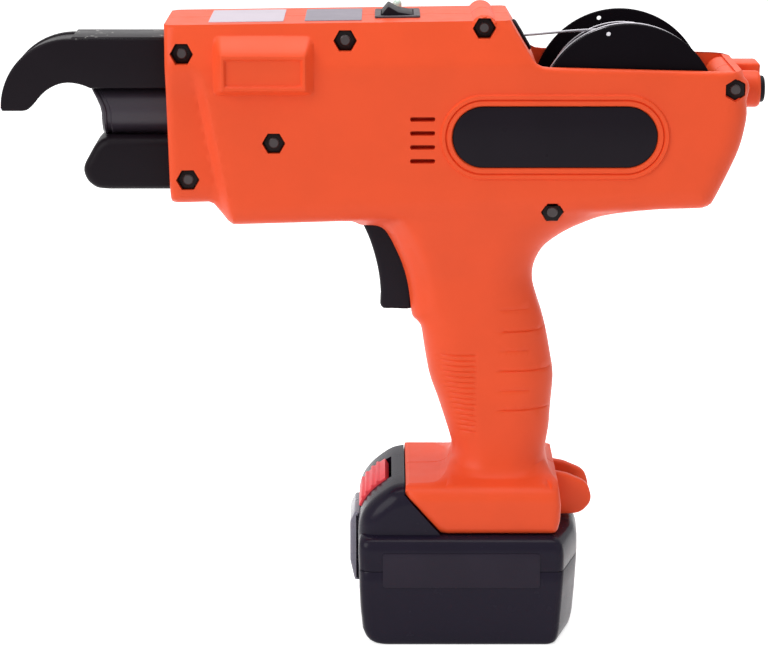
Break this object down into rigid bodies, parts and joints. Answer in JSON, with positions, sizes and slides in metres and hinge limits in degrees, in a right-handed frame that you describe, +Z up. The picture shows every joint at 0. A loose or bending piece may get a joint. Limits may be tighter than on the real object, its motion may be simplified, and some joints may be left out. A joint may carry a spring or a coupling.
{
  "type": "rebar tying tool",
  "caption": "Cordless rebar tying tool: pistol grip under a long head with a hooked jaw in front, a spool of tie wire in an open bay behind and a slide-on battery that forms its foot.",
  "frame": {"origin": "under the middle of the tool on the floor plane: the middle of the bounding box at its lowest point", "axes": "+Z up, the jaw points to -X and the spool lies towards +X, +Y to the far side (the side with the bolt heads)"},
  "size_m": [0.286, 0.0748, 0.2405],
  "materials": {
    "shell_orange": "satin moulded plastic",
    "steel": "machined",
    "bright_steel": "drawn and ground, bright",
    "dark_steel": "blackened",
    "black_paint": "satin black, worn at the edges",
    "black_plastic": "satin",
    "label_white": "bare printed film",
    "label_grey": "bare printed film",
    "lens_green": "translucent",
    "circuit_board": "solder mask",
    "brass": "machined",
    "battery_shell": "glossy",
    "cell_wrap": null,
    "button_red": "ribbed"
  },
  "bodies": {
    "housing": {"housing_left": "shell_orange", "housing_right": "shell_orange", "housing_bolts": "steel", "housing_nuts": "dark_steel", "side_plates": "black_plastic", "top_labels": "label_white", "rocker_bezel": "black_plastic", "indicator_lens": "lens_green", "trigger_pin": "steel", "trigger_spring": "bright_steel", "trigger_switch": "black_plastic", "control_board": "circuit_board", "terminal_block": "black_plastic", "spool_axle": "steel", "tie_wire": "bright_steel", "inlet_bush": "black_plastic", "guide_tube": "steel", "feed_plates": "steel", "feed_idler_pin": "steel", "feed_motor": "steel", "twist_motor": "steel", "gearbox_case": "dark_steel", "spindle_bearing": "bright_steel", "twist_frame": "steel", "nose_barrel": "black_paint", "spindle_bush": "brass", "curl_plates": "black_paint", "curl_core": "dark_steel", "lower_jaw": "black_paint", "strap_bar": "steel"},
    "trigger": {"trigger": "black_plastic"},
    "rocker": {"power_rocker": "black_plastic"},
    "spool": {"spool_flanges": "black_plastic", "spool_hub": "black_plastic", "wire_core": "bright_steel", "wire_winding": "bright_steel"},
    "feed_drive": {"feed_drive_shaft": "steel", "feed_drive_wheel": "bright_steel"},
    "feed_idler": {"feed_idler_wheel": "bright_steel"},
    "feed_pinion": {"feed_pinion": "brass"},
    "sun": {"sun_pinion": "brass"},
    "spindle": {"twist_spindle": "steel", "hook_pins": "steel"},
    "planet_1": {"planet_gear_1": "bright_steel"},
    "planet_2": {"planet_gear_2": "bright_steel"},
    "planet_3": {"planet_gear_3": "bright_steel"},
    "sleeve": {"twist_sleeve": "bright_steel"},
    "hook_up": {"hook_upper": "bright_steel"},
    "hook_down": {"hook_lower": "bright_steel"},
    "rear_button": {"rear_button": "black_plastic"},
    "battery": {"battery_case_upper": "battery_shell", "battery_case_lower": "battery_shell", "battery_cells": "cell_wrap", "battery_cell_holder": "black_plastic", "battery_board": "circuit_board", "battery_terminals": "brass", "battery_labels": "label_grey", "battery_screws": "steel", "battery_button_spring": "bright_steel"},
    "release_button": {"battery_button": "button_red"}
  },
  "joints": [
    {"name": "trigger_pull", "type": "hinge", "parent": "housing", "child": "trigger", "pos_m": [0.007, 0, 0.16], "axis": [0, -1, 0], "range_deg": [0, 9], "stiffness_Nm_per_rad": 0.6, "springref_deg": -8.59, "deforming": ["trigger_spring"]},
    {"name": "rocker_tilt", "type": "hinge", "parent": "housing", "child": "rocker", "pos_m": [0.005, 0, 0.23703], "axis": [0, -1, 0], "range_deg": [0, 14]},
    {"name": "spool_spin", "type": "hinge", "parent": "housing", "child": "spool", "pos_m": [0.09, 0, 0.2034], "axis": [0, 1, 0], "continuous": true},
    {"name": "feed_drive_spin", "type": "hinge", "parent": "housing", "child": "feed_drive", "pos_m": [-0.0586, 0, 0.2157], "axis": [0, 1, 0], "continuous": true},
    {"name": "feed_idler_spin", "type": "hinge", "parent": "housing", "child": "feed_idler", "pos_m": [-0.0586, 0, 0.2269], "axis": [0, 1, 0], "continuous": true},
    {"name": "feed_pinion_spin", "type": "hinge", "parent": "housing", "child": "feed_pinion", "pos_m": [-0.04894, 0, 0.2241], "axis": [0, 1, 0], "continuous": true},
    {"name": "spindle_spin", "type": "hinge", "parent": "housing", "child": "spindle", "pos_m": [-0.04, 0, 0.2015], "axis": [1, 0, 0], "continuous": true},
    {"name": "sun_spin", "type": "hinge", "parent": "housing", "child": "sun", "pos_m": [-0.022, 0, 0.2015], "axis": [1, 0, 0], "continuous": true},
    {"name": "planet_1_spin", "type": "hinge", "parent": "spindle", "child": "planet_1", "pos_m": [-0.025, 0, 0.1907], "axis": [1, 0, 0], "continuous": true},
    {"name": "planet_2_spin", "type": "hinge", "parent": "spindle", "child": "planet_2", "pos_m": [-0.025, 0.00935, 0.2069], "axis": [1, 0, 0], "continuous": true},
    {"name": "planet_3_spin", "type": "hinge", "parent": "spindle", "child": "planet_3", "pos_m": [-0.025, -0.00935, 0.2069], "axis": [1, 0, 0], "continuous": true},
    {"name": "sleeve_slide", "type": "slide", "parent": "spindle", "child": "sleeve", "axis": [-1, 0, 0], "range_m": [0, 0.007]},
    {"name": "hook_upper_pivot", "type": "hinge", "parent": "spindle", "child": "hook_up", "pos_m": [-0.093, 0, 0.2042], "axis": [0, -1, 0], "range_deg": [0, 7.1]},
    {"name": "hook_lower_pivot", "type": "hinge", "parent": "spindle", "child": "hook_down", "pos_m": [-0.093, 0, 0.1988], "axis": [0, 1, 0], "range_deg": [0, 7.1]},
    {"name": "rear_button_press", "type": "slide", "parent": "housing", "child": "rear_button", "axis": [-1, 0, 0], "range_m": [0, 0.0008], "stiffness_N_per_m": 1500, "springref_m": -0.0006},
    {"name": "battery_slide", "type": "slide", "parent": "housing", "child": "battery", "axis": [-1, 0, 0], "range_m": [0, 0.075]},
    {"name": "release_press", "type": "slide", "parent": "battery", "child": "release_button", "axis": [0.7581, 0, -0.6522], "range_m": [0, 0.002], "stiffness_N_per_m": 900, "springref_m": -0.001, "deforming": ["battery_button_spring"]}
  ],
  "couplings": [
    {"joint": "feed_idler_spin", "follows": "feed_drive_spin", "ratio": -1},
    {"joint": "feed_pinion_spin", "follows": "feed_drive_spin", "ratio": -1.6667},
    {"joint": "sun_spin", "follows": "spindle_spin", "ratio": 4.5},
    {"joint": "planet_1_spin", "follows": "spindle_spin", "ratio": -2.8},
    {"joint": "planet_2_spin", "follows": "spindle_spin", "ratio": -2.8},
    {"joint": "planet_3_spin", "follows": "spindle_spin", "ratio": -2.8},
    {"joint": "hook_upper_pivot", "follows": "sleeve_slide", "rad_per_m": 17.453},
    {"joint": "hook_lower_pivot", "follows": "sleeve_slide", "rad_per_m": 17.453}
  ]
}
